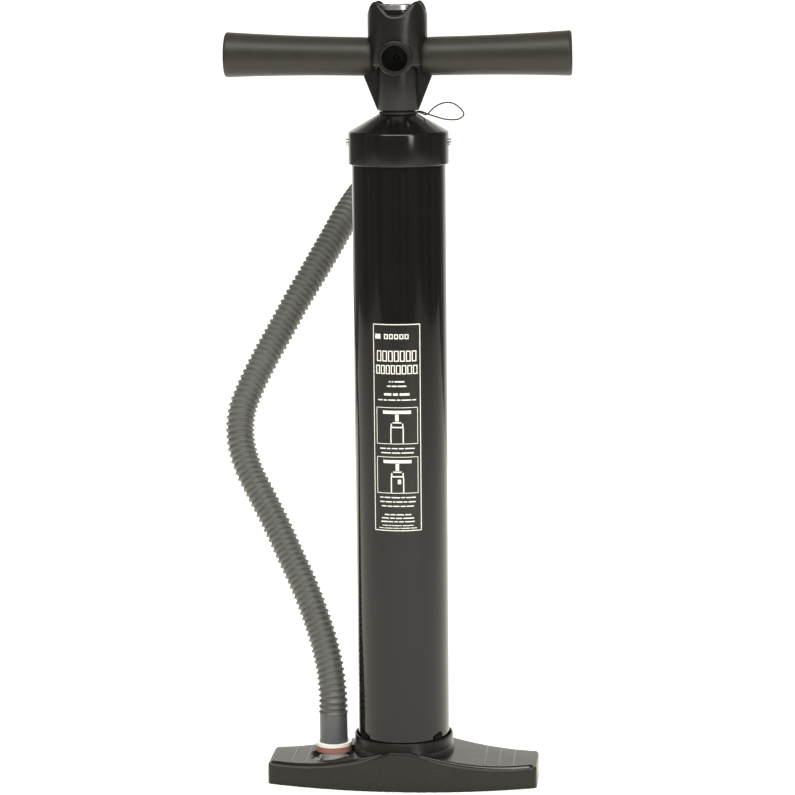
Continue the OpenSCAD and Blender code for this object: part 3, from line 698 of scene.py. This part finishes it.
def patch(x0, x1, z0, z1, radius=0.03822):
    steps = max(1, round(abs(x1 - x0) / 0.002))
    base = len(label_points)
    for k in range(steps + 1):
        a = (x0 + (x1 - x0) * k / steps) / 0.038
        for z in (z0, z1):
            label_points.append((radius * math.sin(a), -radius * math.cos(a), z))
    for k in range(steps):
        i = base + 2 * k
        label_faces.append((i, i + 2, i + 3, i + 1))


def frame_line(x0, x1, z0, z1, thick):
    patch(x0, x1, z0, z0 + thick)
    patch(x0, x1, z1 - thick, z1)
    patch(x0, x0 + thick, z0 + thick, z1 - thick)
    patch(x1 - thick, x1, z0 + thick, z1 - thick)


def mm_patch(x, z, width, height):
    patch((x - width / 2) / 1000, (x + width / 2) / 1000, (z - height / 2) / 1000, (z + height / 2) / 1000)


def words(z, height, widths, gap):
    """A line of plain blocks in place of words, centred on the label."""
    x = -(sum(widths) + gap * (len(widths) - 1)) / 2
    for width in widths:
        if height > 3:
            low = (z - height / 2) / 1000
            high = (z + height / 2) / 1000
            frame_line(x / 1000, (x + width) / 1000, low, high, 0.0008)
        else:
            mm_patch(x + width / 2, z, width, height)
        x += width + gap


print("print helpers ready")

# %% [markdown]
# The label's own lines, in millimetres: title blocks, small lines, and the two drawings.
# %%
frame_line(-0.0198, 0.0198, 0.2186, 0.3884, 0.0007)
mm_patch(-15.4, 378.3, 4.6, 4.0)
words(378.3, 4.0, [3.2] * 5, 1.0)
words(362.4, 8.8, [3.9] * 7, 0.9)
words(351.4, 7.4, [3.4] * 4 + [3.8] * 4, 0.8)
words(341.6, 1.1, [1.4, 1.4, 8], 0.9)
words(337.9, 1.1, [3, 4, 7], 0.9)
words(331.2, 1.9, [6, 4, 8], 1.4)
for z, widths in ((326.6, [4, 3, 6, 3, 8, 3]), (286.8, [5, 3, 5, 4, 8]), (283.2, [8, 7, 10]),
                  (246.4, [3, 5, 7, 3, 8]), (242.8, [4, 5, 2, 5, 3, 6]), (239.2, [4, 4, 5, 4, 6]),
                  (232.2, [4, 4, 6, 5]), (229.3, [6, 4, 5, 9]), (226.4, [10, 3, 4, 8])):
    words(z, 0.9, widths, 0.9)
words(223.2, 0.6, [5, 2, 8, 9], 0.6)
words(221.0, 0.6, [4, 7, 5, 8, 5], 0.6)
for low in (290.4, 249.8):
    frame_line(-0.0172, 0.0172, low / 1000, low / 1000 + 0.0302, 0.0005)
    mm_patch(0, low + 26.2, 23, 2.6)
    mm_patch(0, low + 21.6, 2.8, 5.6)
    mm_patch(0, low + 17.6, 7.0, 1.0)
    mm_patch(-4.6, low + 15.2, 1.0, 3.4)
    mm_patch(4.6, low + 15.2, 1.0, 3.4)
    mm_patch(0, low + 13.8, 10.4, 1.0)
    mm_patch(-5.0, low + 7.2, 0.9, 13)
    mm_patch(5.0, low + 7.2, 0.9, 13)
mm_patch(1.6, 259.4, 2.6, 3.6)
marks = add_mesh("label_print", label_points, label_faces, False)
set_on(marks, "pump_body", print_look)

print("label patches:", len(label_faces))

# %% [markdown]
# The dial's tick marks: a long one every sixth, all flat on the dial.
# %%
tick_points = []
tick_faces = []
for k in range(37):
    a = math.radians(225 - 7.5 * k)
    inner = 0.0118 if k % 6 == 0 else 0.0134
    half = 0.0003 if k % 6 == 0 else 0.00015
    way = Vector((math.cos(a), math.sin(a), 0))
    flat = Vector((-math.sin(a), math.cos(a), 0))
    base = len(tick_points)
    tick_points += [way * inner - flat * half, way * 0.0152 - flat * half,
                    way * 0.0152 + flat * half, way * inner + flat * half]
    tick_faces.append((base, base + 1, base + 2, base + 3))
dial_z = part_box("gauge_dial")[1].z + 0.00005
ticks = add_mesh("dial_ticks", [p + Vector((0, 0, dial_z)) for p in tick_points], tick_faces, False)
set_on(ticks, "handle", rubber_look)
print("print built")

# %% [markdown]
# The stage: a pale floor that ends in front of the camera, a white surround behind the pump and
# a grey one with soft streaks in front, so that the glossy barrel mirrors the floor's edge.
# %%
scene.view_settings.view_transform = "Standard"
floor_corners = [(-2.8, -2.15, 0), (2.8, -2.15, 0), (2.8, 1.4, 0), (-2.8, 1.4, 0)]
floor = add_mesh("floor", floor_corners, [(0, 1, 2, 3)], False)
floor_look = plastic("floor_pale", colour(252, 246, 234), colour(253, 249, 240), 0.7, 0.02, 0.01, 0.0001,
                     blotch=3.0)
wear(floor, floor_look)
world = bpy.data.worlds.new("studio")
scene.world = world
world.use_nodes = True
sky = world.node_tree
w = Field(sky)
way = w.call("ShaderNodeTexCoord", out=0)
across = w.call("ShaderNodeSeparateXYZ", out=0, Vector=way)
depth = w.call("ShaderNodeSeparateXYZ", out=1, Vector=way)
share = ((depth - 0.72) / 0.16).clamp()
flat_way = w.call("ShaderNodeCombineXYZ", X=across, Y=depth)
streaks = w.call("ShaderNodeTexNoise", Vector=flat_way, Scale=5.0, Detail=3.0)
dark = w.mix(((streaks - 0.42) / 0.25).clamp(), (0.15, 0.145, 0.14, 1.0), (0.34, 0.33, 0.315, 1.0))
warm_white = (1.34, 1.29, 1.2, 1.0)
w.feed(sky.nodes["Background"].inputs["Color"], w.mix(share, dark, warm_white))


print("studio built")

# %% [markdown]
# Soft lamps: a big one above, a wide one in front, a low one that fills, and a narrow one whose
# streak runs down the right of the glossy parts.
# %%
def lamp(name, place, aim, size, power):
    light = bpy.data.lights.new(name, "AREA")
    light.shape = "RECTANGLE"
    light.size = size[0]
    light.size_y = size[1]
    light.energy = power
    made = bpy.data.objects.new(name, light)
    scene.collection.objects.link(made)
    made.location = place
    made.rotation_euler = (Vector(aim) - Vector(place)).to_track_quat("-Z", "Y").to_euler()
    return made


above_lamp = lamp("lamp_above", (0.0, 0.6, 2.8), (0, 0.4, 0), (3.4, 3.4), 170)
above_lamp.visible_glossy = False
lamp("lamp_front", (0.0, -1.35, 2.3), (0, 0, 0.4), (2.4, 0.7), 50)
low_lamp = lamp("lamp_low", (0.0, -2.4, 0.8), (0, 0, 0.3), (2.0, 0.5), 16)
low_lamp.visible_glossy = False
lamp("lamp_right", (1.15, -1.7, 1.1), (0, 0, 0.6), (0.35, 1.4), 14)

# %% [markdown]
# %%
print("end of script")
